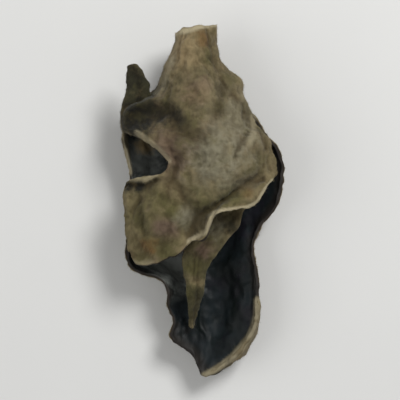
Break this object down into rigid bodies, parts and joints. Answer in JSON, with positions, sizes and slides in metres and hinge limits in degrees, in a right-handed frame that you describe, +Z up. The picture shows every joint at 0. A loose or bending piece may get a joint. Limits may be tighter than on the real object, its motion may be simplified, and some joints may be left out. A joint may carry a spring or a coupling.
{
  "type": "dried wood ear mushroom",
  "caption": "Dried wood ear mushroom: a thin leathery ear folded over on itself, felted outside and smooth and dark inside, lying on its back.",
  "frame": {"origin": "on the surface it lies on, under the middle of its bounding box", "axes": "+Y towards the end that was cut from the wood, +Z up and away from the surface, +X to the right seen from above"},
  "size_m": [0.0276, 0.0578, 0.0157],
  "materials": {
    "dried_flesh": "matt felted outer side, blue-black semi-gloss inner side"
  },
  "bodies": {
    "root": {"wood_ear": "dried_flesh"}
  },
  "joints": []
}
